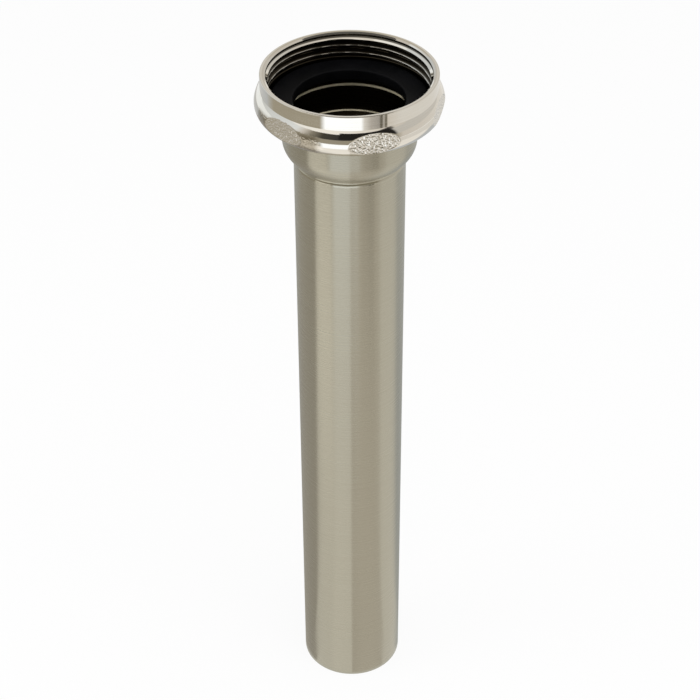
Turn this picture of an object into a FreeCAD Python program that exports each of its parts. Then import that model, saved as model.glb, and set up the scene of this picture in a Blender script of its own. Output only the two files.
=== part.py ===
"""Flanged tail pipe for a basin waste, with its coupling nut and sealing washer.

Millimetres, +Z up the pipe. The origin is the centre of the cut lower end.
"""

import FreeCAD, Part
import math
import os

import Sketcher

SIZES = [
    ("pipe_length", 210, "cut end to the top of the flange"),
    ("tube_diameter", 31.75, "outside of the long straight tube"),
    ("tube_wall", 0.9, "wall of the tube, bell and flange"),
    ("bell_diameter", 38.1, "outside of the wide top of the pipe"),
    ("bell_depth", 8.8, "top of the flange down to the start of the shoulder"),
    ("shoulder_radius", 7, "outside curve that brings the bell in to the tube"),
    ("flange_rim", 1.85, "how far the flange stands out from the bell"),
    ("flange_bend", 0.5, "curve under the flange"),
    ("washer_thickness", 3.2, "flat rubber washer"),
    ("washer_hole", 31.4, "washer's hole"),
    ("washer_clearance", 0.22, "between the washer's edge and the thread's crests"),
    ("washer_edge", 0.35, "round on the washer's edges"),
    ("thread_minor", 44.85, "inside diameter over the nut's thread crests"),
    ("nut_height", 14.2, "nut, underside to rim"),
    ("nut_floor", 1.9, "thickness of the nut's inward lip"),
    ("seat_gap", 0.3, "nut's lip to the flange above it"),
    ("lip_gap", 0.45, "nut's lip to the bell inside it"),
    ("flange_gap", 0.5, "flange's edge to the corner of the nut's floor"),
    ("floor_corner", 1.2, "height of the sloping corner inside the nut"),
    ("relief_depth", 0.5, "relief below the thread, deeper than the crests"),
    ("relief_margin", 0.2, "top of the relief above the washer"),
    ("mouth_step", 0.7, "plain wall of the nut's mouth, outside the crests"),
    ("mouth_depth", 1.05, "rim down to the foot of that wall"),
    ("mouth_cone", 0.8, "height of the cone from that wall in to the crests"),
    ("mouth_bevel", 0.75, "bevel at the top of that wall, across"),
    ("bevel_depth", 0.45, "bevel at the top of that wall, down"),
    ("collar_wall", 2.34, "nut's collar, from the crests to the outside"),
    ("collar_height", 4.1, "plain collar above the bulge"),
    ("collar_edge", 0.2, "round on the rim's outer edge"),
    ("bulge_rise", 1.7, "how far the bulge stands out from the collar"),
    ("bulge_middle", 5.8, "height of the bulge's widest line"),
    ("bulge_underside", 4.2, "curve below the widest line"),
    ("foot_land", 1.0, "flat ring under the nut, round its hole"),
    ("flat_cut", 1.0, "depth of each flat into the bulge"),
    ("flat_count", 6, "flats round the bulge"),
    ("flat_turn", 45, "direction of the first flat, degrees from +X"),
]

BELL = "(Sizes.bell_diameter / 2)"
TUBE = "(Sizes.tube_diameter / 2)"
WALL = "Sizes.tube_wall"
CREST = "(Sizes.thread_minor / 2)"
FLANGE = f"({BELL} + Sizes.flange_rim)"
COLLAR = f"({CREST} + Sizes.collar_wall)"
BULGE = f"({COLLAR} + Sizes.bulge_rise)"
FLAT = f"({BULGE} - Sizes.flat_cut)"
HOLE = f"({BELL} + Sizes.lip_gap)"
WASHER = f"({CREST} - Sizes.washer_clearance)"

doc = FreeCAD.newDocument("tail_pipe")
sheet = doc.addObject("Spreadsheet::Sheet", "Sizes")
for row, (alias, value, note) in enumerate(SIZES, start=1):
    sheet.set(f"A{row}", note)
    sheet.set(f"B{row}", str(value))
    sheet.setAlias(f"B{row}", alias)
doc.recompute()


def number(expression):
    """Present value of an expression in the sheet's names."""
    return float(sheet.evalExpression(expression))


def plane(body, role):
    """One of a body's own origin planes."""
    return next(item for item in body.Origin.OriginFeatures if item.Role == role)


def new_sketch(body, name, role):
    sketch = body.newObject("Sketcher::SketchObject", name)
    sketch.AttachmentSupport = [(plane(body, role), "")]
    sketch.MapMode = "FlatFace"
    return sketch


def bind(sketch, kind, place, expression):
    """Adds one constraint and ties its value to the sheet."""
    index = sketch.addConstraint(Sketcher.Constraint(kind, *place, number(expression)))
    sketch.setExpression(f"Constraints[{index}]", expression)


def arc_through(start, end, radius, side):
    """Arc from start to end with its centre on the left (+1) or right (-1) of that line."""
    chord = end - start
    rise = math.sqrt(radius**2 - (chord.Length / 2) ** 2)
    left = FreeCAD.Vector(-chord.y, chord.x, 0).normalize()
    centre = (start + end) / 2 + left * rise * side
    first = math.atan2(start.y - centre.y, start.x - centre.x)
    last = math.atan2(end.y - centre.y, end.x - centre.x)
    circle = Part.Circle(centre, FreeCAD.Vector(0, 0, 1), radius)
    if side > 0:
        return Part.ArcOfCircle(circle, first, last)
    return Part.ArcOfCircle(circle, last, first)


def draw_outline(sketch, corners):
    """Closed outline through corners given as (across, up) or (across, up, radius, side).

    The second form reaches its corner by an arc from the corner before it.
    """
    points = [FreeCAD.Vector(number(c[0]), number(c[1]), 0) for c in corners]
    ends = []
    for index, corner in enumerate(corners):
        start, end = points[index - 1], points[index]
        if len(corner) == 2:
            edge = sketch.addGeometry(Part.LineSegment(start, end))
            ends.append((edge, 1, 2))
            continue
        edge = sketch.addGeometry(arc_through(start, end, number(corner[2]), corner[3]))
        ends.append((edge, 1, 2) if corner[3] > 0 else (edge, 2, 1))
    for index, corner in enumerate(corners):
        edge, _, last = ends[index]
        following, first, _ = ends[(index + 1) % len(ends)]
        sketch.addConstraint(Sketcher.Constraint("Coincident", edge, last, following, first))
        bind(sketch, "DistanceX", (-1, 1, edge, last), corner[0])
        if corner[1] == "0":
            sketch.addConstraint(Sketcher.Constraint("PointOnObject", edge, last, -1))
        else:
            bind(sketch, "DistanceY", (-1, 1, edge, last), corner[1])
        if len(corner) == 4:
            bind(sketch, "Radius", (edge,), corner[2])


def turn(body, name, corners):
    """Solid of revolution about the pipe's axis."""
    sketch = new_sketch(body, name + "Outline", "XZ_Plane")
    draw_outline(sketch, corners)
    solid = body.newObject("PartDesign::Revolution", name)
    solid.Profile = sketch
    solid.ReferenceAxis = (sketch, ["V_Axis"])
    solid.Angle = 360
    doc.recompute()
    return solid


def new_body(node):
    body = doc.addObject("PartDesign::Body", node)
    body.Label = node
    return body


def make_pipe():
    """Thin pipe: cut tube, rounded shoulder, wider bell, and a flange turned out at the top."""
    top = "Sizes.pipe_length"
    bend = "Sizes.flange_bend"
    start = f"({top} - Sizes.bell_depth)"
    radius = "Sizes.shoulder_radius"
    off_centre = f"({TUBE} - {BELL} + {radius})"
    crease = f"({start} - sqrt({radius}^2 - {off_centre}^2))"
    inner_crease = f"({start} - sqrt(({radius} - {WALL})^2 - ({off_centre} - {WALL})^2))"
    neck = f"({top} - {WALL} - {bend})"
    body = new_body("tail_pipe")
    turn(body, "PipeWall", [
        (f"{TUBE} - {WALL}", "0"),
        (TUBE, "0"),
        (TUBE, crease),
        (BELL, start, radius, 1),
        (BELL, neck),
        (f"{BELL} + {bend}", f"{top} - {WALL}", bend, -1),
        (FLANGE, f"{top} - {WALL}"),
        (FLANGE, top),
        (f"{BELL} + {bend}", top),
        (f"{BELL} - {WALL}", neck, f"{bend} + {WALL}", 1),
        (f"{BELL} - {WALL}", start),
        (f"{TUBE} - {WALL}", inner_crease, f"{radius} - {WALL}", -1),
    ])
    return body


def make_washer():
    """Flat rubber washer lying on the flange."""
    hole = "(Sizes.washer_hole / 2)"
    edge = "Sizes.washer_edge"
    thick = "Sizes.washer_thickness"
    body = new_body("sealing_washer")
    turn(body, "WasherRing", [
        (f"{hole} + {edge}", "0", edge, 1),
        (f"{WASHER} - {edge}", "0"),
        (WASHER, edge, edge, 1),
        (WASHER, f"{thick} - {edge}"),
        (f"{WASHER} - {edge}", thick, edge, 1),
        (f"{hole} + {edge}", thick),
        (hole, f"{thick} - {edge}", edge, 1),
        (hole, edge),
    ])
    body.setExpression("Placement.Base.z", "Sizes.pipe_length")
    return body


def make_nut():
    """Cast nut: plain collar over a rounded bulge, with a lip at the bottom that catches the flange."""
    rim = "Sizes.nut_height"
    floor = "Sizes.nut_floor"
    middle = "Sizes.bulge_middle"
    under = "Sizes.bulge_underside"
    foot = f"({HOLE} + Sizes.foot_land)"
    centre = f"({BULGE} - {under})"
    reach = f"sqrt(({foot} - {centre})^2 + {middle}^2)"
    aim = f"(atan2(-{middle}; {foot} - {centre}) + acos({under} / {reach}))"
    shelf = f"({rim} - Sizes.collar_height)"
    over = f"((Sizes.bulge_rise^2 + ({shelf} - {middle})^2) / (2 * Sizes.bulge_rise))"
    relief = f"({CREST} + Sizes.relief_depth)"
    mouth = f"({CREST} + Sizes.mouth_step)"
    seat = f"({floor} + Sizes.seat_gap + {WALL} + Sizes.washer_thickness)"
    groove = f"({seat} + Sizes.relief_margin)"
    edge = "Sizes.collar_edge"
    body = new_body("coupling_nut")
    turn(body, "NutBlank", [
        (HOLE, "0"),
        (foot, "0"),
        (f"{centre} + {under} * cos({aim})", f"{middle} + {under} * sin({aim})"),
        (BULGE, middle, under, 1),
        (COLLAR, shelf, over, 1),
        (COLLAR, f"{rim} - {edge}"),
        (f"{COLLAR} - {edge}", rim, edge, 1),
        (f"{mouth} + Sizes.mouth_bevel", rim),
        (mouth, f"{rim} - Sizes.bevel_depth"),
        (mouth, f"{rim} - Sizes.mouth_depth"),
        (CREST, f"{rim} - Sizes.mouth_depth - Sizes.mouth_cone"),
        (CREST, f"{groove} + Sizes.relief_depth"),
        (relief, groove),
        (relief, f"{floor} + Sizes.floor_corner"),
        (f"{FLANGE} + Sizes.flange_gap", floor),
        (HOLE, floor),
    ])
    cut_flats(body)
    body.setExpression("Placement.Base.z", f"Sizes.pipe_length - {WALL} - Sizes.seat_gap - {floor}")
    body.Placement.Rotation = FreeCAD.Rotation(FreeCAD.Vector(0, 0, 1), number("Sizes.flat_turn"))
    body.setExpression("Placement.Rotation.Angle", "Sizes.flat_turn")
    return body


def cut_flats(body):
    """Flats cut round the bulge, short of the collar above it."""
    sketch = new_sketch(body, "FlatOutline", "XY_Plane")
    draw_outline(sketch, [
        (FLAT, f"-{BULGE}"),
        (f"{BULGE} + Sizes.bulge_rise", f"-{BULGE}"),
        (f"{BULGE} + Sizes.bulge_rise", BULGE),
        (FLAT, BULGE),
    ])
    before = body.Shape.Volume
    pocket = body.newObject("PartDesign::Pocket", "Flat")
    pocket.Profile = sketch
    pocket.Type = "ThroughAll"
    pocket.Reversed = True
    doc.recompute()
    first_cut = before - body.Shape.Volume
    pattern = body.newObject("PartDesign::PolarPattern", "Flats")
    pattern.Originals = [pocket]
    pattern.Axis = (sketch, ["N_Axis"])
    pattern.Angle = 360
    pattern.setExpression("Occurrences", "Sizes.flat_count")
    body.Tip = pattern
    doc.recompute()
    all_cuts = before - body.Shape.Volume
    if not all_cuts >= first_cut > 0:
        raise ValueError("the flats don't cut the bulge")


def check(bodies):
    """Stops before anything is written if an object failed or a solid isn't sound."""
    failed = [item.Name for item in doc.Objects if {"Invalid", "Error"} & set(item.State)]
    if failed:
        raise ValueError(f"not recomputed: {failed}")
    for body in bodies:
        if body.Shape.isNull() or not body.Shape.isValid() or len(body.Shape.Solids) != 1:
            raise ValueError(f"{body.Label} is not one sound solid")


pieces = [make_pipe(), make_washer(), make_nut()]
doc.recompute()
check(pieces)
os.makedirs("parts", exist_ok=True)
for piece in pieces:
    piece.Shape.exportStep(f"parts/{piece.Label}.step")
    print(piece.Label, round(piece.Shape.Volume, 1), "mm3")
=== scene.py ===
import math

import bpy
import numpy as np
from mathutils import Matrix, Vector


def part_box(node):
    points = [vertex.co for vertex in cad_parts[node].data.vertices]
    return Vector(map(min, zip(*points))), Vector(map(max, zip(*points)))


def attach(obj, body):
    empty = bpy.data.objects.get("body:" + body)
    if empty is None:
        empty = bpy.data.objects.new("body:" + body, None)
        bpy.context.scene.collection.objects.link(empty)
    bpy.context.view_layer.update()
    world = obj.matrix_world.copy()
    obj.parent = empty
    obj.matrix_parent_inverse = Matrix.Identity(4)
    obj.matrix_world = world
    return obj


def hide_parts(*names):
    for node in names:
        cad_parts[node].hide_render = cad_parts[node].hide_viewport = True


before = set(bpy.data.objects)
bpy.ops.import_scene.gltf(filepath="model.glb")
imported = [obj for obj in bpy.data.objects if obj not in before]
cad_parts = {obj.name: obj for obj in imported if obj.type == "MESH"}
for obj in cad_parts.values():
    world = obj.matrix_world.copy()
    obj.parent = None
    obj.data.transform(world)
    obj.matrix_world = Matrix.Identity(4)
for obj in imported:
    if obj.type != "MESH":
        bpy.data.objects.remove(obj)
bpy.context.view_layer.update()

MM = 0.001

# Heights in millimetres above the pipe's cut end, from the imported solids.
PIPE_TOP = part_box("tail_pipe")[1].z / MM
WASHER_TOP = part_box("sealing_washer")[1].z / MM
NUT_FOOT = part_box("coupling_nut")[0].z / MM
NUT_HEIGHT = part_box("coupling_nut")[1].z / MM - NUT_FOOT

# The pipe's section, in millimetres: radii from the axis, walls, rounds and heights.
TUBE = 15.875
WALL = 0.9
BELL = 19.05
BELL_START = PIPE_TOP - 8.8
SHOULDER = 7.0
SHOULDER_CENTRE = (BELL - SHOULDER, BELL_START)
FLANGE = 20.9
FLANGE_BEND = 0.5
NECK = PIPE_TOP - WALL - FLANGE_BEND
CUT_EDGE = 0.12
RIM_EDGE = 0.2
PIPE_COLUMNS = 384

# The spun crease under the shoulder: the tube leans in, and a small hollow round follows.
CREASE_DIP = 0.2
CREASE_RAMP = 1.0
CREASE_FILLET = 1.0

# Heights of the polished crease and of the two painted highlight bands in the bore, in millimetres.
CREASE_BAND = (PIPE_TOP - 16.2, PIPE_TOP - 15.3)
PAINTED_GLEAM_BAND = (PIPE_TOP - 3, PIPE_TOP - 2.5)
PAINTED_FOOT_GLEAM_BAND = (PIPE_TOP - 11, PIPE_TOP - 10.9)
BAND_FADE = 0.3

# The nut's outside, in millimetres: radii, rounds, and heights above its foot.
HOLE = 19.5
HOLE_EDGE = 0.1
FOOT = 20.5
BULGE = 26.465
MIDDLE = 5.8
UNDERSIDE = 4.2
SHELF = 10.1
COLLAR = 24.765
COLLAR_EDGE = 0.2
COLLAR_MARGIN = 0.06
LIP_SLOPE = 0.06
NUT_COLUMNS = 960

# The nut's floor, and the relief between it and the thread.
FLOOR = 1.9
FLOOR_CORNER = 1.2
FLOOR_EDGE = 21.4
GROOVE = 6.5
RELIEF = 22.925

# The nut's mouth, down from its rim: a bevel, a plain wall and a cone in to the thread.
MOUTH = 23.125
MOUTH_BEVEL = 0.75
BEVEL_DEPTH = 0.45
MOUTH_DEPTH = 1.05
MOUTH_CONE = 0.8
CONE_END = MOUTH_DEPTH + MOUTH_CONE

# The thread: radii, pitch, half widths of its crests and roots, and where its ends fade.
CREST = 22.425
ROOT = 23.68
PITCH = 25.4 / 11
CREST_HALF = 0.1
FIRST_CREST_HALF = 0.3
FIRST_CREST_DEPTH = 1.46
ROOT_HALF = 0.16
FLANK_ROUND = 0.45
THREAD_START = 7.0
THREAD_RUN_OUT = (THREAD_START - 0.45, THREAD_START + 0.25)
THREAD_FADE_IN = (CONE_END - 0.1, CONE_END + 0.2)

# Painted shade in the mouth: widths of the bright flanks it leaves beside a crest, and its share on
# the wall.
BRIGHT_ALL = 0.06
BRIGHT_SIDES = 0.14
BRIGHT_RIGHT = 0.12
MOUTH_PAINTED_SHADE = 0.9
MOUTH_BACK = 0.35
MOUTH_FADE = (-0.05, 0.1)

# The flats cut into the bulge; the stipple is at its full where the cut is FLAT_FADE deep.
FLAT = 25.465
FLAT_COUNT = 6
FLAT_STEP = 2 * math.pi / FLAT_COUNT
FLAT_TURN = math.radians(45)
FLAT_FADE = 0.12

# The cast stipple: spacing and depth of its grains, and each flat's shift in the pattern.
# Place, size and reach of a grain are shares of the spacing.
GRAIN = 0.47
GRAIN_DEPTH = 0.17
GRAIN_SHIFT = 40
GRAIN_PLACE = (0.15, 0.85)
GRAIN_SIZE = (0.75, 1.25)
GRAIN_REACH = 0.62

# One flat has fainter stipple, and the bulge beside it is painted a darker tan: painted shade that
# dims its reflection.
FAINT_FLAT = 3
FAINT_DEPTH = 0.09
PAINTED_DIM_REACH = 2.5
PAINTED_DIM_TOP = 8.8
PAINTED_DIM_FOOT = 0.6
PAINTED_DIM_FADE = 1.4
PAINTED_DIM_STIPPLE = 0.8

# The washer's section, in millimetres, and how far its rubber strays from true.
WASHER_HOLE = 15.7
WASHER_EDGE = 22.205
WASHER_ROUND = 0.35
WASHER_WANDER = 0.03
WASHER_DIP = 0.04
WASHER_COLUMNS = 256

# Angles in degrees above which an edge between two faces stays crisp.
PIPE_CRISP = 32
NUT_CRISP = 35
WASHER_CRISP = 40

# The surfaces' colours.
PIPE_DARK = (0.425, 0.40, 0.317, 1)
PIPE_LIGHT = (0.49, 0.467, 0.377, 1)
PIPE_CLOUD = (0.42, 0.405, 0.335, 1)
# Painted shade: the bore's brass is painted near black for the depth of the tube.
BORE_PAINTED_SHADE = (0.03, 0.024, 0.014, 1)
# Painted highlight: the bright gold of the two bands in the bore.
BORE_PAINTED_GLEAM = (0.95, 0.86, 0.62, 1)
NUT_DARK = (0.74, 0.705, 0.63, 1)
NUT_LIGHT = (0.79, 0.76, 0.69, 1)
NUT_CLOUD = (0.74, 0.68, 0.57, 1)
NUT_STIPPLE = (0.80, 0.775, 0.71, 1)
# Painted shade: a darker tan that dims the bulge's reflection beside one flat.
NUT_PAINTED_DIM = (0.31, 0.27, 0.2, 1)
# Painted shade: near black in the nut's thread grooves, mouth wall and floor.
NUT_RECESS_PAINTED_SHADE = (0.045, 0.037, 0.025, 1)
RUBBER = (0.0012, 0.0014, 0.0018, 1)
RUBBER_BLOOM = (0.0030, 0.0030, 0.0037, 1)
PAPER = (0.86, 0.86, 0.86, 1)
WHITE = (1, 1, 1, 1)

# Tints of the studio's cards.
TAN = (1, 0.92, 0.74)
WARM = (1, 0.95, 0.89)
PALE = (1, 0.98, 0.95)
COOL = (0.92, 0.96, 1)
CLEAR = (0.95, 1, 1.08)

# The studio, in metres: the floor, the sheets on it, and the boards, one above the other.
STUDIO_HALF = 6.0
STUDIO_GLOW = 0.9
WORLD_LIGHT = 0.55
SHEET_GAP = 0.0003
SKIRT_START = 0.0161
SKIRT_END = 0.034
SKIRT_TWIST = 0.65
PAPER_END = 0.372
BRIGHT_END = 0.374
STRIP_START = 0.376
STRIP_END = 0.85
BOARD_REACH = 0.9
BOARD_EDGES = (0.02, 0.34, 0.86, 1.09, 1.35)
BLACK_REACH = 0.88
BLACK_EDGES = (0.41, 1.01)
CROWN_REACH = 0.62
CROWN_MIDDLE = 0.001
CARD_STEP = 4
LAMP_AIM = 0.15


def smooth(value, low, high):
    """0 below low, 1 above high, with a soft rise between them."""
    share = np.clip((value - low) / (high - low), 0, 1)
    return share * share * (3 - 2 * share)


def line(start, end, steps):
    """Points from start to end, without the first."""
    share = np.arange(1, steps + 1) / steps
    return [(start[0] + (end[0] - start[0]) * s, start[1] + (end[1] - start[1]) * s) for s in share]


def arc(centre, radius, first, last, steps):
    """Points on an arc between two angles in degrees, both ends included."""
    angles = np.radians(np.linspace(first, last, steps + 1))
    return [(centre[0] + radius * math.cos(a), centre[1] + radius * math.sin(a)) for a in angles]


def columns_round(count):
    """Directions of evenly spaced columns round the axis, in radians."""
    return np.arange(count) * (2 * math.pi / count)


def ring(radius, height, count):
    """Points round the pipe's axis; radius and height are numbers, or one value per column."""
    turn = columns_round(count)
    radius = np.broadcast_to(radius, turn.shape)
    height = np.broadcast_to(height, turn.shape)
    return np.stack([radius * np.cos(turn), radius * np.sin(turn), height], axis=1)


def band(first, second, lower, upper):
    """Faces between two neighbouring rings that have equal counts, or counts of two to one."""
    low, high = len(lower), len(upper)
    if low == high:
        return [(first + i, first + (i + 1) % low, second + (i + 1) % high, second + i)
                for i in range(low)]
    if low > high:
        return [face[::-1] for face in band(second, first, upper, lower)]
    faces = []
    for i in range(low):
        near, far = first + i, first + (i + 1) % low
        start, halfway, end = (second + (2 * i + k) % high for k in range(3))
        faces += [(near, halfway, start), (near, far, halfway), (far, end, halfway)]
    return faces


def closed_skin(name, rings, crisp):
    """A closed, tube-like mesh from rings in millimetres; edges sharper than crisp stay sharp."""
    starts = np.cumsum([0] + [len(r) for r in rings])
    faces = []
    for index, lower in enumerate(rings):
        after = (index + 1) % len(rings)
        faces += band(int(starts[index]), int(starts[after]), lower, rings[after])
    mesh = bpy.data.meshes.new(name)
    mesh.from_pydata((np.concatenate(rings) * MM).tolist(), [], faces)
    mesh.validate()
    mesh.polygons.foreach_set("use_smooth", [True] * len(mesh.polygons))
    mesh.set_sharp_from_angle(angle=math.radians(crisp))
    piece = bpy.data.objects.new(name, mesh)
    bpy.context.scene.collection.objects.link(piece)
    return piece


def mark(piece, name, values):
    """Stores one number per point for the material to read."""
    attribute = piece.data.attributes.new(name, "FLOAT", "POINT")
    attribute.data.foreach_set("value", np.asarray(values, np.float32))


def crease_ramp(end):
    """The tube's lean inwards, up to the height where the hollow round starts."""
    shares = np.linspace(0.1, 1, 10)
    return [(TUBE - CREASE_DIP * s**2, end - CREASE_RAMP * (1 - s)) for s in shares]


def fillet_height():
    """Height of the middle of the small hollow round that joins the tube and the shoulder."""
    across = TUBE - CREASE_DIP + CREASE_FILLET - SHOULDER_CENTRE[0]
    return SHOULDER_CENTRE[1] - math.sqrt((SHOULDER + CREASE_FILLET) ** 2 - across**2)


def pipe_outside():
    """The pipe's section from its cut end up the outside and over the flange's rim."""
    fillet = (TUBE - CREASE_DIP + CREASE_FILLET, fillet_height())
    turn = math.degrees(math.atan2(SHOULDER_CENTRE[1] - fillet[1], fillet[0] - SHOULDER_CENTRE[0]))
    outline = arc((TUBE - CUT_EDGE, CUT_EDGE), CUT_EDGE, -90, 0, 4)
    outline += line(outline[-1], (TUBE, fillet[1] - CREASE_RAMP), 12)
    outline += crease_ramp(fillet[1])
    outline += arc(fillet, CREASE_FILLET, 180, 180 - turn, 6)[1:]
    outline += arc(SHOULDER_CENTRE, SHOULDER, -turn, 0, 18)[1:]
    outline += line(outline[-1], (BELL, NECK), 3)
    outline += arc((BELL + FLANGE_BEND, NECK), FLANGE_BEND, 180, 90, 6)[1:]
    outline += arc((FLANGE - RIM_EDGE, PIPE_TOP - WALL + RIM_EDGE), RIM_EDGE, -90, 0, 4)
    outline += arc((FLANGE - RIM_EDGE, PIPE_TOP - RIM_EDGE), RIM_EDGE, 0, 90, 4)
    return outline


def pipe_inside():
    """The pipe's section from the flange's top face down the bore to the cut end."""
    bore = TUBE - WALL
    slope = math.degrees(math.acos((bore - SHOULDER_CENTRE[0]) / (SHOULDER - WALL)))
    outline = arc((BELL + FLANGE_BEND, NECK), FLANGE_BEND + WALL, 90, 180, 8)
    outline += line(outline[-1], (BELL - WALL, BELL_START), 2)
    outline += arc(SHOULDER_CENTRE, SHOULDER - WALL, 0, -slope, 16)[1:]
    outline += line(outline[-1], (bore, CUT_EDGE), 12)
    outline += arc((bore + CUT_EDGE, CUT_EDGE), CUT_EDGE, 180, 270, 4)[1:]
    return outline


def make_pipe():
    """The drawn pipe, with its bore marked for the material."""
    outside, inside = pipe_outside(), pipe_inside()
    rings = [ring(radius, height, PIPE_COLUMNS) for radius, height in outside + inside]
    piece = closed_skin("pipe_drawn", rings, PIPE_CRISP)
    bore = [0] * len(outside) + [radius < BELL for radius, height in inside]
    mark(piece, "bore", np.repeat(bore, PIPE_COLUMNS))
    return piece


def bulge_outline():
    """The bulge: a round underside, and a wider arc from its middle up to the collar."""
    under = (BULGE - UNDERSIDE, MIDDLE)
    reach = math.hypot(FOOT - under[0], MIDDLE)
    start = math.degrees(math.atan2(-MIDDLE, FOOT - under[0]) + math.acos(UNDERSIDE / reach))
    lowest_flat = -math.degrees(math.acos((FLAT - under[0]) / UNDERSIDE))
    rise, step = BULGE - COLLAR, SHELF - MIDDLE
    wide = (rise**2 + step**2) / (2 * rise)
    over = (BULGE - wide, MIDDLE)
    highest_flat = math.degrees(math.acos((FLAT - BULGE + wide) / wide))
    outline = arc(under, UNDERSIDE, start, lowest_flat, 3)
    outline += arc(under, UNDERSIDE, lowest_flat, 0, 18)[1:]
    outline += arc(over, wide, 0, highest_flat, 20)[1:]
    outline += arc(over, wide, highest_flat, math.degrees(math.asin(step / wide)), 3)[1:]
    return outline


def nut_outline():
    """The nut's outside from the foot's hole to the inner edge of the rim."""
    bulge = bulge_outline()
    outline = [(HOLE, 0)] + line((HOLE, 0), (FOOT, 0), 2)
    outline += line(outline[-1], bulge[0], 4) + bulge[1:]
    outline += line(outline[-1], (COLLAR, NUT_HEIGHT - COLLAR_EDGE - COLLAR_MARGIN), 4)
    outline += arc((COLLAR - COLLAR_EDGE, NUT_HEIGHT - COLLAR_EDGE), COLLAR_EDGE, 0, 90, 5)
    outline += line(outline[-1], (MOUTH + MOUTH_BEVEL, NUT_HEIGHT - LIP_SLOPE), 2)
    return outline


def floor_outline():
    """The nut's inside below the thread: relief groove, sloping corner, floor and hole."""
    corner = FLOOR + FLOOR_CORNER
    return [(RELIEF, GROOVE), (RELIEF, (GROOVE + corner) / 2), (RELIEF, corner),
            (FLOOR_EDGE, FLOOR), (HOLE + HOLE_EDGE, FLOOR), (HOLE, FLOOR - HOLE_EDGE),
            (HOLE, HOLE_EDGE)]


def hashed(cells, salt, low, high):
    """Repeatable values from low to high for whole-number cells."""
    mixed = np.sin(cells[0] * 127.1 + cells[1] * 311.7 + salt * 74.7) * 43758.5453
    return low + (high - low) * (mixed - np.floor(mixed))


def grain(across, up):
    """Height from 0 to 1 of the cast stipple: rounded grains of uneven size."""
    x, y = across / GRAIN, up / GRAIN
    nearest = np.full(x.shape, np.inf)
    for i in (-1, 0, 1):
        for j in (-1, 0, 1):
            cell = (np.floor(x) + i, np.floor(y) + j)
            off_x = cell[0] + hashed(cell, 1, *GRAIN_PLACE) - x
            off_y = cell[1] + hashed(cell, 2, *GRAIN_PLACE) - y
            nearest = np.minimum(nearest, np.hypot(off_x, off_y) / hashed(cell, 3, *GRAIN_SIZE))
    return np.clip(1 - (nearest / GRAIN_REACH) ** 2, 0, 1)


def flatten(radius, height, turn):
    """One ring of the nut after the flats are cut, with its stipple and a painted dim patch.

    Returns the radius at each column, how far it is stippled and how far it is painted dim.
    """
    off = (turn - FLAT_TURN + FLAT_STEP / 2) % FLAT_STEP - FLAT_STEP / 2
    flat = FLAT / np.cos(off)
    cut = np.clip((radius - flat) / FLAT_FADE, 0, 1)
    face = np.round((turn - FLAT_TURN) / FLAT_STEP)
    rough = grain(FLAT * np.tan(off) + GRAIN_SHIFT * face, np.full(turn.shape, height))
    faint = face == FAINT_FLAT
    # Painted shade: the bulge beside the faint flat is painted darker to dim its reflection.
    beside = smooth(BULGE + PAINTED_DIM_REACH - flat, 0, PAINTED_DIM_FADE)
    below = smooth(PAINTED_DIM_TOP - height, 0, PAINTED_DIM_FADE) * smooth(height - PAINTED_DIM_FOOT, 0, PAINTED_DIM_FADE)
    painted_dim = faint * (1 - cut) * beside * below
    stipple = np.maximum(cut, PAINTED_DIM_STIPPLE * painted_dim)
    depth = np.where(faint, FAINT_DEPTH, GRAIN_DEPTH)
    return np.minimum(radius, flat) - stipple * depth * (1 - rough), stipple, painted_dim


def thread_rows():
    """Heights of the rings down the nut's mouth and thread, from the rim to the relief."""
    bevel = np.linspace(BEVEL_DEPTH / 3, BEVEL_DEPTH, 3)
    cone = np.linspace(MOUTH_DEPTH, CONE_END, 9)
    thread = np.linspace(CONE_END + 0.1, NUT_HEIGHT - THREAD_START + 0.4, 50)
    return NUT_HEIGHT - np.concatenate([bevel, cone, thread])


def from_crest(height, turn):
    """Distance to the nearest crest of the thread, and half of that crest's width.

    The thread starts at the back, and its first crest is wider than the others.
    """
    back = math.pi / 2
    rise = ((turn - back + math.pi) % (2 * math.pi) - math.pi) / (2 * math.pi) * PITCH
    off = (height - (NUT_HEIGHT - FIRST_CREST_DEPTH) - rise) / PITCH
    away = np.abs(off - np.round(off)) * PITCH
    return away, np.where(np.round(off) >= 0, FIRST_CREST_HALF, CREST_HALF)


def thread_shade(height, turn):
    """How much painted shade the mouth gets: grooves and wall get it, crests, flanks and lip don't.
    """
    away, crest = from_crest(height, turn)
    deep = NUT_HEIGHT - height
    to_right, to_back = np.clip(np.cos(turn), 0, 1), np.clip(np.sin(turn), 0, 1)
    # The painted shade leaves wider bright flanks at the sides and on the right, and reaches deeper
    # down the wall at the back.
    bright = BRIGHT_ALL + BRIGHT_SIDES * np.cos(turn) ** 2 + BRIGHT_RIGHT * to_right**2
    groove = smooth((away - crest) / bright, 0, 1) * (deep > CONE_END)
    wall_end = MOUTH_DEPTH + MOUTH_BACK * to_back
    above = 1 - smooth(deep, wall_end + MOUTH_FADE[0], wall_end + MOUTH_FADE[1])
    return np.maximum(groove, MOUTH_PAINTED_SHADE * (deep >= BEVEL_DEPTH) * above)


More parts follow.
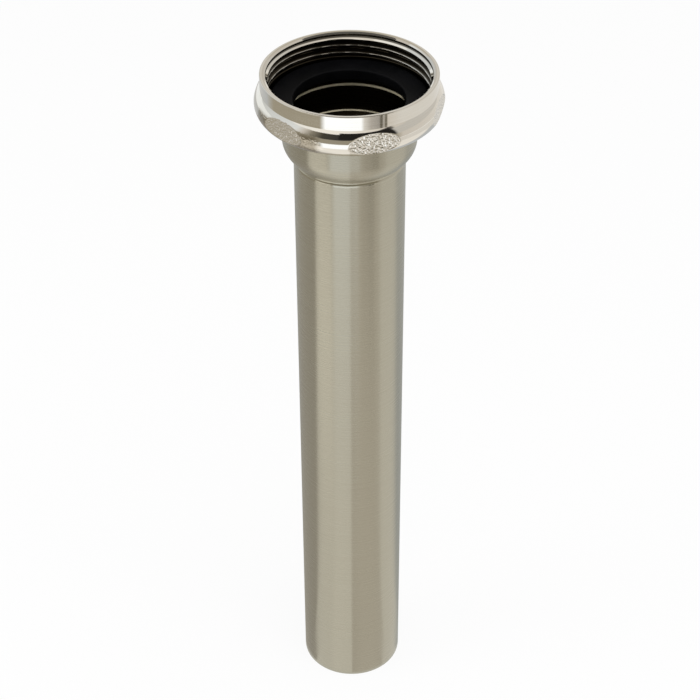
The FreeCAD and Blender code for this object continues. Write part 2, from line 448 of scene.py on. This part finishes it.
def thread_radius(height, turn):
    """Radius of the right-handed internal thread at one height, round all columns."""
    deep = NUT_HEIGHT - height
    step = MOUTH - CREST
    mouth = np.interp(deep, [0, BEVEL_DEPTH, MOUTH_DEPTH, CONE_END],
                      [step + MOUTH_BEVEL, step, step, 0])
    away, crest = from_crest(height, turn)
    flank = np.clip((away - crest) / (PITCH / 2 - crest - ROOT_HALF), 0, 1)
    profile = (1 - FLANK_ROUND) * flank + FLANK_ROUND * smooth(flank, 0, 1)
    inner = CREST + mouth + (ROOT - CREST) * profile * smooth(deep, *THREAD_FADE_IN)
    return RELIEF + (inner - RELIEF) * smooth(height, *THREAD_RUN_OUT)


def nut_row(radius, height, count, stipple=0, painted_dim=0, recess_painted_shade=0):
    """One ring of the nut, with its stipple and painted shade at each column."""
    row = {"ring": ring(radius, height + NUT_FOOT, count)}
    for name, share in (("stipple", stipple), ("painted_dim", painted_dim), ("recess_painted_shade", recess_painted_shade)):
        row[name] = np.broadcast_to(share, (count,))
    return row


def make_nut():
    """The cast nut: stippled flats outside, a helical thread inside."""
    turn, inner_turn = columns_round(NUT_COLUMNS), columns_round(NUT_COLUMNS // 2)
    rows = []
    for radius, height in nut_outline():
        radius, stipple, painted_dim = flatten(radius, height, turn)
        rows.append(nut_row(radius, height, len(turn), stipple=stipple, painted_dim=painted_dim))
    for height in thread_rows():
        radius, recess_painted_shade = thread_radius(height, inner_turn), thread_shade(height, inner_turn)
        rows.append(nut_row(radius, height, len(inner_turn), recess_painted_shade=recess_painted_shade))
    # The nut's floor and relief inside are painted in full shade.
    for radius, height in floor_outline():
        rows.append(nut_row(radius, height, len(inner_turn), recess_painted_shade=1))
    piece = closed_skin("nut_cast", [row["ring"] for row in rows], NUT_CRISP)
    for name in ("stipple", "painted_dim", "recess_painted_shade"):
        mark(piece, name, np.concatenate([row[name] for row in rows]))
    return piece


def make_washer():
    """The rubber washer: rounded edges and a face that isn't quite true."""
    low, high, edge = PIPE_TOP, WASHER_TOP, WASHER_ROUND
    outer, inner = WASHER_EDGE - edge, WASHER_HOLE + edge
    outline = arc((outer, low + edge), edge, -90, 0, 5)
    outline += arc((outer, high - edge), edge, 0, 90, 5)
    outline += line(outline[-1], (inner, high), 8)
    outline += arc((inner, high - edge), edge, 90, 180, 5)[1:]
    outline += arc((inner, low + edge), edge, 180, 270, 5)
    turn = columns_round(WASHER_COLUMNS)
    rings = []
    for radius, height in outline:
        wander = WASHER_WANDER * (1 + np.sin(2 * turn + 0.6) * np.cos(3 * turn))
        lift = (height - low) / (high - low)
        dip = WASHER_DIP * (1 + np.sin(3 * turn + radius / 3)) * lift
        rings.append(ring(radius - wander, height - dip, WASHER_COLUMNS))
    return closed_skin("washer_rubber", rings, WASHER_CRISP)


class Nodes:
    """Short calls for building one material's node tree."""

    def __init__(self, name):
        self.material = bpy.data.materials.new(name)
        self.material.use_nodes = True
        self.tree = self.material.node_tree
        self.shader = self.tree.nodes["Principled BSDF"]

    def add(self, kind, settings=None, **inputs):
        """A new node; a socket's name is given with _ for each blank."""
        node = self.tree.nodes.new("ShaderNode" + kind)
        for key, value in (settings or {}).items():
            setattr(node, key, value)
        for key, value in inputs.items():
            self.put(node, key.replace("_", " "), value)
        return node

    def put(self, node, key, value):
        """Links a socket, or sets a plain value; key is the socket's name or number."""
        socket = node.inputs[key]
        if isinstance(value, bpy.types.NodeSocket):
            self.tree.links.new(value, socket)
        else:
            socket.default_value = value

    def math(self, operation, first, second=0.0):
        node = self.add("Math", {"operation": operation})
        self.put(node, 0, first)
        self.put(node, 1, second)
        return node.outputs[0]

    def spread(self, value, low, high, to_low, to_high):
        """Maps low and high to two new values, and keeps the result between them."""
        return self.add("MapRange", None, Value=value, From_Min=low, From_Max=high,
                        To_Min=to_low, To_Max=to_high).outputs[0]

    def mix(self, share, first, second):
        """A blend of two colours."""
        node = self.add("Mix", {"data_type": "RGBA"})
        self.put(node, 0, share)
        self.put(node, 6, first)
        self.put(node, 7, second)
        return node.outputs[2]

    def place(self):
        """The object's own coordinates, in metres."""
        return self.add("TexCoord").outputs["Object"]

    def stored(self, name):
        """A number that is stored on the mesh's points."""
        return self.add("Attribute", {"attribute_name": name}).outputs["Fac"]

    def noise(self, scale, detail, roughness=0.55):
        """Noise with so many waves to the metre along each axis."""
        where = self.add("Mapping", None, Vector=self.place(), Scale=scale).outputs[0]
        return self.add("TexNoise", None, Vector=where, Scale=1.0, Detail=detail,
                        Roughness=roughness).outputs[0]

    def bump(self, height, distance, strength, below=None):
        """A bumpy normal, over another one where that is given."""
        node = self.add("Bump", None, Height=height, Distance=distance, Strength=strength)
        if below is not None:
            self.put(node, "Normal", below)
        return node.outputs[0]

    def near(self, height, edges):
        """1 where a height is between two edges, given in millimetres, fading beyond them."""
        middle, half = (edges[0] + edges[1]) / 2 * MM, (edges[1] - edges[0]) / 2 * MM
        off = self.math("ABSOLUTE", self.math("SUBTRACT", height, middle))
        return self.spread(off, half, half + BAND_FADE * MM, 1, 0)

    def finish(self, **inputs):
        """Sets the shader's own sockets and hands over the material."""
        for key, value in inputs.items():
            self.put(self.shader, key.replace("_", " "), value)
        return self.material


def brushed_nickel():
    """Satin pipe: fine brushing round the tube, a polished crease, and a bore of brass painted near
    black as shade, with two painted highlight bands.
    """
    nodes = Nodes("pipe_nickel_brushed")
    fine = nodes.noise((14, 14, 9000), 4)
    coarse = nodes.noise((8, 8, 1600), 3)
    broad = nodes.noise((18, 18, 9), 2)
    lines = nodes.math("ADD", nodes.math("MULTIPLY", fine, 0.6), nodes.math("MULTIPLY", coarse, 0.4))
    streaks = nodes.mix(nodes.spread(lines, 0.35, 0.65, 0, 1), PIPE_DARK, PIPE_LIGHT)
    outer = nodes.mix(nodes.spread(broad, 0.35, 0.65, 0, 0.2), streaks, PIPE_CLOUD)
    height = nodes.add("SeparateXYZ", None, Vector=nodes.place()).outputs["Z"]
    # Painted highlights: two bright gold bands in the bore, with less metal so that they catch light.
    painted_gleam = nodes.math("ADD", nodes.near(height, PAINTED_GLEAM_BAND), nodes.near(height, PAINTED_FOOT_GLEAM_BAND))
    # The bore is painted near black as shade, except for the two painted highlight bands.
    inner = nodes.mix(painted_gleam, BORE_PAINTED_SHADE, BORE_PAINTED_GLEAM)
    bore = nodes.stored("bore")
    lit = nodes.math("MULTIPLY", painted_gleam, nodes.math("MULTIPLY", bore, 0.9))
    polish = nodes.spread(nodes.near(height, CREASE_BAND), 0, 1, 1, 0.4)
    tangent = nodes.add("Tangent", {"direction_type": "RADIAL", "axis": "Z"}).outputs[0]
    return nodes.finish(
        Base_Color=nodes.mix(bore, outer, inner), Metallic=nodes.math("SUBTRACT", 1.0, lit),
        Roughness=nodes.math("MULTIPLY", nodes.spread(lines, 0.3, 0.7, 0.23, 0.29), polish),
        Anisotropic=0.97, Anisotropic_Rotation=0.25, Tangent=tangent,
        Normal=nodes.bump(lines, 0.00002, 0.3))


def polished_nickel():
    """Plated nut: bright, with faint turning lines, cast stipple, painted shade in the thread, mouth
    and floor, and a painted dim patch on the bulge.
    """
    nodes = Nodes("nut_nickel_polished")
    turned = nodes.noise((50, 50, 7000), 3)
    cloud = nodes.noise((160, 160, 160), 3)
    pits = nodes.noise((4200, 4200, 4200), 2)
    stipple, painted_dim, recess_painted_shade = (nodes.stored(name) for name in ("stipple", "painted_dim", "recess_painted_shade"))
    tone = nodes.mix(nodes.spread(turned, 0.3, 0.7, 0, 1), NUT_DARK, NUT_LIGHT)
    tone = nodes.mix(nodes.spread(cloud, 0.4, 0.7, 0, 0.2), tone, NUT_CLOUD)
    tone = nodes.mix(nodes.math("MULTIPLY", stipple, 0.5), tone, NUT_STIPPLE)
    # Painted shade dims the bulge beside the faint flat.
    tone = nodes.mix(nodes.math("MULTIPLY", painted_dim, 0.85), tone, NUT_PAINTED_DIM)
    # Painted shade darkens the grooves, the mouth's wall and the floor.
    tone = nodes.mix(recess_painted_shade, tone, NUT_RECESS_PAINTED_SHADE)
    plain_rough = nodes.spread(turned, 0.3, 0.7, 0.04, 0.08)
    turning_lines = nodes.bump(turned, 0.00001, 0.12)
    return nodes.finish(
        Base_Color=tone, Metallic=1.0,
        Roughness=nodes.math("ADD", plain_rough, nodes.math("MULTIPLY", recess_painted_shade, 0.25)),
        Normal=nodes.bump(nodes.math("MULTIPLY", pits, stipple), 0.00004, 0.5, turning_lines))


def black_rubber():
    """Moulded rubber with a faint bloom and fine pores."""
    nodes = Nodes("washer_rubber_black")
    bloom = nodes.noise((140, 140, 140), 4, 0.6)
    pores = nodes.noise((2600, 2600, 2600), 3, 0.6)
    return nodes.finish(
        Base_Color=nodes.mix(nodes.spread(bloom, 0.35, 0.7, 0, 1), RUBBER, RUBBER_BLOOM),
        Roughness=nodes.spread(bloom, 0.3, 0.7, 0.5, 0.62), Specular_IOR_Level=0.12,
        Normal=nodes.bump(pores, 0.00003, 0.3))


def seen_rays(tree):
    """1 for the rays that show the background: straight to the camera, or by metal or glass."""
    path = tree.nodes.new("ShaderNodeLightPath")
    total = path.outputs["Is Camera Ray"]
    for name in ("Is Glossy Ray", "Is Transmission Ray"):
        node = tree.nodes.new("ShaderNodeMath")
        node.operation = "MAXIMUM"
        tree.links.new(total, node.inputs[0])
        tree.links.new(path.outputs[name], node.inputs[1])
        total = node.outputs[0]
    return total


def floor_material():
    """Pale paper that glows white where it is seen and still takes the object's shadow."""
    material = bpy.data.materials.new("floor_paper")
    material.use_nodes = True
    tree = material.node_tree
    paper = tree.nodes["Principled BSDF"]
    paper.inputs["Base Color"].default_value = PAPER
    paper.inputs["Roughness"].default_value = 0.9
    paper.inputs["Specular IOR Level"].default_value = 0.1
    glow = tree.nodes.new("ShaderNodeEmission")
    share = tree.nodes.new("ShaderNodeMath")
    share.operation = "MULTIPLY"
    share.inputs[1].default_value = STUDIO_GLOW
    tree.links.new(seen_rays(tree), share.inputs[0])
    mix = tree.nodes.new("ShaderNodeMixShader")
    tree.links.new(share.outputs[0], mix.inputs[0])
    tree.links.new(paper.outputs[0], mix.inputs[1])
    tree.links.new(glow.outputs[0], mix.inputs[2])
    tree.links.new(mix.outputs[0], tree.nodes["Material Output"].inputs["Surface"])
    return material


def make_floor():
    """The plain pale floor."""
    corners = [(STUDIO_HALF * x, STUDIO_HALF * y, 0) for x, y in ((-1, -1), (1, -1), (1, 1), (-1, 1))]
    mesh = bpy.data.meshes.new("floor")
    mesh.from_pydata(corners, [], [(0, 1, 2, 3)])
    mesh.materials.append(floor_material())
    floor = bpy.data.objects.new("floor", mesh)
    bpy.context.scene.collection.objects.link(floor)


def make_world():
    """Even pale surroundings: white where they are seen, softer as light."""
    world = bpy.data.worlds.new("studio")
    world.use_nodes = True
    tree = world.node_tree
    back = tree.nodes["Background"]
    back.inputs["Color"].default_value = WHITE
    level = tree.nodes.new("ShaderNodeMapRange")
    level.inputs["To Min"].default_value = WORLD_LIGHT
    level.inputs["To Max"].default_value = 1.0
    tree.links.new(seen_rays(tree), level.inputs["Value"])
    tree.links.new(level.outputs[0], back.inputs["Strength"])
    bpy.context.scene.world = world


def make_lamp(name, place, size, power):
    """A soft square lamp aimed at the upper part of the pipe; metal doesn't mirror it."""
    data = bpy.data.lights.new(name, "AREA")
    data.shape = "SQUARE"
    data.size = size
    data.energy = power
    lamp = bpy.data.objects.new(name, data)
    lamp.location = place
    aim = Vector((0, 0, LAMP_AIM)) - Vector(place)
    lamp.rotation_euler = aim.to_track_quat("-Z", "Y").to_euler()
    lamp.visible_glossy = False
    bpy.context.scene.collection.objects.link(lamp)


def card_material():
    """Gives back each card's own tones, as the metal sees them."""
    material = bpy.data.materials.new("studio_card")
    material.use_nodes = True
    tree = material.node_tree
    tone = tree.nodes.new("ShaderNodeAttribute")
    tone.attribute_name = "tone"
    glow = tree.nodes.new("ShaderNodeEmission")
    tree.links.new(tone.outputs["Color"], glow.inputs["Color"])
    tree.links.new(glow.outputs[0], tree.nodes["Material Output"].inputs["Surface"])
    return material


def make_card(name, material, reach, heights, stops, twist=1.0):
    """A curved card round the object that only the metal's reflections show.

    It runs from (reach[0], heights[0]) to (reach[1], heights[1]), measured from the axis in
    metres. stops are (azimuth, brightness, tint): azimuths in degrees from the front, positive
    to the right, with the tone between them shaded evenly. At its inner end the azimuths are
    multiplied by twist.
    """
    azimuths = [stop[0] for stop in stops]
    tones = np.array([[stop[1] * part for part in stop[2]] for stop in stops])
    steps = math.ceil((azimuths[-1] - azimuths[0]) / CARD_STEP)
    turns = sorted(set(np.linspace(azimuths[0], azimuths[-1], steps + 1)) | set(azimuths))
    points, colours = [], []
    for degrees in turns:
        tone = [float(np.interp(degrees, azimuths, tones[:, part])) for part in range(3)]
        for radius, height, share in zip(reach, heights, (twist, 1.0)):
            turn = math.radians(degrees * share)
            points.append((radius * math.sin(turn), -radius * math.cos(turn), height))
            colours += tone + [1.0]
    faces = [(2 * i, 2 * i + 1, 2 * i + 3, 2 * i + 2) for i in range(len(turns) - 1)]
    mesh = bpy.data.meshes.new(name)
    mesh.from_pydata(points, [], faces)
    mesh.attributes.new("tone", "FLOAT_COLOR", "POINT").data.foreach_set("color", colours)
    mesh.materials.append(material)
    card = bpy.data.objects.new(name, mesh)
    for ray in ("camera", "diffuse", "shadow", "transmission", "volume_scatter"):
        setattr(card, "visible_" + ray, False)
    bpy.context.scene.collection.objects.link(card)


def lay_sheet(name, material, layer, reach, stops, twist=1.0):
    """A sheet that lies on the floor, a number of layers up."""
    make_card(name, material, reach, [layer * SHEET_GAP] * 2, stops, twist)


def lay_sheets(material):
    """Sheets on the floor, which the pipe and the nut's underside mirror."""
    papers = [(-180, 0.50, COOL), (-130, 0.52, WARM), (-77, 0.53, WARM), (-75, 0.96, PALE),
              (-42, 0.98, PALE), (-34, 1.05, PALE), (0, 1.03, PALE), (0.6, 0.78, WARM),
              (20, 0.84, WARM), (42, 0.84, WARM), (62, 0.77, WARM), (65, 0.97, PALE),
              (104, 0.97, PALE), (114, 0.62, COOL), (180, 0.56, COOL)]
    lay_sheet("paper_skirt", material, 2, (SKIRT_START, SKIRT_END), papers, SKIRT_TWIST)
    lay_sheet("paper_floor", material, 2, (SKIRT_END, PAPER_END), papers)
    lay_sheet("paper_bright", material, 3, (0.15, BRIGHT_END),
              [(-75, 1.22, PALE), (-42, 1.22, PALE), (-34, 1.05, PALE), (-0.5, 1.0, PALE)])
    lay_sheet("paper_white", material, 4, (0.28, BRIGHT_END),
              [(-35, 1.1, PALE), (-31, 1.35, CLEAR), (-0.5, 1.35, CLEAR)])
    lay_sheet("strip_mid", material, 5, (0.46, STRIP_END),
              [(-71, 0.41, TAN), (-68, 1.35, PALE), (-37, 1.35, PALE)])
    lay_sheet("strip_low", material, 4, (STRIP_START, STRIP_END),
              [(-180, 0.7, PALE), (-128, 0.6, COOL), (-110, 0.41, TAN), (-37, 0.41, TAN),
               (-30, 1.4, CLEAR), (14, 1.4, CLEAR), (18, 0.82, PALE), (26, 0.53, WARM),
               (37, 0.4, WARM), (38.3, 0.16, TAN), (40.7, 0.16, TAN), (42, 0.5, WARM),
               (43.5, 0.5, WARM), (44.5, 0.2, TAN), (46.7, 0.2, TAN), (48, 0.74, WARM),
               (70, 0.82, PALE), (180, 0.8, PALE)])


def stand_board(name, material, heights, stops, reach=BOARD_REACH):
    """A board that stands round the object between two heights."""
    make_card(name, material, (reach, reach), heights, stops)


def stand_boards(material):
    """Boards round the object, with dark ones at the front, and two more as a ceiling."""
    low, middle, high, crest, top = BOARD_EDGES
    stand_board("board_low", material, (low, middle),
                [(-180, 0.9, PALE), (-150, 1.1, COOL), (-106, 1.1, COOL), (-86, 0.5, WARM),
                 (-60, 0.4, TAN), (-8, 0.36, TAN), (52, 0.4, TAN), (62, 0.72, WARM),
                 (140, 0.85, PALE), (180, 1.0, PALE)])
    stand_board("board_mid", material, (middle, high),
                [(-180, 0.78, PALE), (-170, 0.62, WARM), (-150, 0.7, COOL), (-66, 0.95, COOL),
                 (-56, 0.7, WARM), (-46, 0.3, TAN), (-32, 0.07, TAN), (-16, 0.05, WARM),
                 (53, 0.05, WARM), (57, 0.64, PALE), (140, 0.7, PALE), (170, 0.62, WARM),
                 (180, 0.78, PALE)])
    stand_board("board_black", material, BLACK_EDGES,
                [(-13, 0.02, WARM), (20, 0.02, WARM), (54, 0.02, WARM)], BLACK_REACH)
    left = [(-180, 0.5, TAN), (-150, 0.6, WARM), (-130, 1.0, COOL), (-30, 1.1, PALE),
            (0, 1.0, PALE), (38, 0.85, WARM)]
    dark = [(46, 0.15, WARM), (57, 0.1, WARM)]
    right = [(62, 0.75, WARM), (150, 0.65, WARM), (180, 0.5, TAN)]
    stand_board("board_high", material, (high, crest), left + dark + right)
    stand_board("board_crest", material, (crest, top), left + right)
    make_card("board_top", material, (BOARD_REACH, CROWN_REACH), (top, top),
              [(-180, 0.6, WARM), (0, 0.9, WARM), (180, 0.6, WARM)])
    make_card("board_crown", material, (CROWN_REACH, CROWN_MIDDLE), (top, top),
              [(-180, 0.12, WARM), (0, 0.12, WARM), (180, 0.12, WARM)])


def make_camera():
    """The photograph's viewpoint, from the front and above, looking down into the mouth."""
    focal_pixels = 1861.9
    frame_pixels = 700
    target_height = 0.12563
    distance = 0.56693
    down = math.radians(37.184)
    roll = math.radians(-0.262)
    yaw = math.radians(-0.023)
    data = bpy.data.cameras.new("camera")
    data.sensor_width = 36
    data.lens = focal_pixels / frame_pixels * data.sensor_width
    data.clip_start = 0.01
    camera = bpy.data.objects.new("camera", data)
    ahead = Vector((math.sin(yaw) * math.cos(down), math.cos(yaw) * math.cos(down), -math.sin(down)))
    right = Vector((math.cos(yaw), -math.sin(yaw), 0))
    up = right.cross(ahead)
    tilted_right = right * math.cos(roll) + up * math.sin(roll)
    tilted_up = up * math.cos(roll) - right * math.sin(roll)
    turn = Matrix((tilted_right, tilted_up, -ahead)).transposed()
    place = Vector((0, -math.cos(down), math.sin(down))) * distance + Vector((0, 0, target_height))
    camera.matrix_world = Matrix.Translation(place) @ turn.to_4x4()
    bpy.context.scene.collection.objects.link(camera)
    bpy.context.scene.camera = camera


def dress(piece, material, body, node):
    """Gives a piece its material, hangs it under its body, and hides the solid it stands in for."""
    piece.data.materials.append(material)
    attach(piece, body)
    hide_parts(node)


dress(make_pipe(), brushed_nickel(), "pipe", "tail_pipe")
dress(make_nut(), polished_nickel(), "nut", "coupling_nut")
dress(make_washer(), black_rubber(), "pipe", "sealing_washer")

make_floor()
make_world()
cards = card_material()
lay_sheets(cards)
stand_boards(cards)
make_lamp("lamp_top", (0.25, -0.35, 1.3), size=0.9, power=9)
make_lamp("lamp_left", (-1.1, -0.3, 0.7), size=0.7, power=5)
make_camera()
bpy.context.scene.view_settings.view_transform = "Standard"
